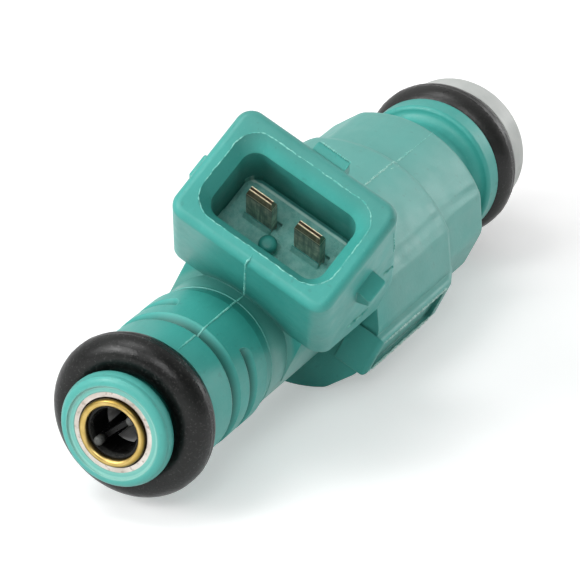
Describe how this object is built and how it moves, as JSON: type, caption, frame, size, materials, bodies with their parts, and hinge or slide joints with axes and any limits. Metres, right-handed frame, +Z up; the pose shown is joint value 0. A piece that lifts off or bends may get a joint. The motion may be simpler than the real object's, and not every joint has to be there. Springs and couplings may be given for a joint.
{
  "type": "fuel injector",
  "caption": "Port fuel injector with a long moulded body, an O-ring at each end, a slanted open-fronted blade socket, a winged barrel round the coil and a white nozzle cap.",
  "frame": {"origin": "centre of the outlet seal, on the injector's axis", "axes": "+X along the injector's axis from the outlet to the fuel inlet; +Z up, as the injector lies on a bench on the rounded belly of its barrel; +Y to the side that the socket leans towards, 26.5 degrees from upright"},
  "size_m": [0.0696, 0.0256, 0.0296],
  "materials": {
    "green_plastic": "satin moulded nylon, sea green",
    "rubber": "moulded fluoroelastomer, near black, faintly glossy",
    "inlet_steel": "turned stainless steel",
    "filter_brass": "bright rolled brass",
    "black_plastic": "moulded black nylon",
    "mesh_plastic": "woven nylon mesh",
    "blade_metal": "tinned blades, dulled, bright at the tips",
    "copper": "enamelled copper wire",
    "bobbin_plastic": "glass-filled nylon",
    "core_steel": "soft magnetic steel",
    "spacer_steel": "non-magnetic stainless steel",
    "spring_steel": "spring wire",
    "needle_steel": "ground and hardened steel",
    "white_plastic": "moulded white nylon"
  },
  "bodies": {
    "injector": {"housing": "green_plastic", "socket_shell": "green_plastic", "inlet_seal": "rubber", "outlet_seal": "rubber", "inlet_tube": "inlet_steel", "filter_ring": "filter_brass", "filter_frame": "black_plastic", "filter_mesh": "mesh_plastic", "adjusting_sleeve": "core_steel", "return_spring": "spring_steel", "terminal_left": "blade_metal", "terminal_right": "blade_metal", "coil_lead_left": "copper", "coil_lead_right": "copper", "coil_bobbin": "bobbin_plastic", "coil_winding": "copper", "pole_washer": "core_steel", "flux_bracket": "core_steel", "spacer_ring": "spacer_steel", "valve_body": "core_steel", "valve_seat": "needle_steel", "needle_guide": "needle_steel", "orifice_plate": "needle_steel", "nozzle_cap": "white_plastic"},
    "valve": {"armature": "core_steel", "needle": "needle_steel", "valve_ball": "needle_steel"}
  },
  "joints": [
    {"name": "needle_lift", "type": "slide", "parent": "injector", "child": "valve", "axis": [1, 0, 0], "range_m": [0, 0.0001], "stiffness_N_per_m": 3000, "springref_m": -0.0012, "deforming": ["return_spring"]}
  ]
}
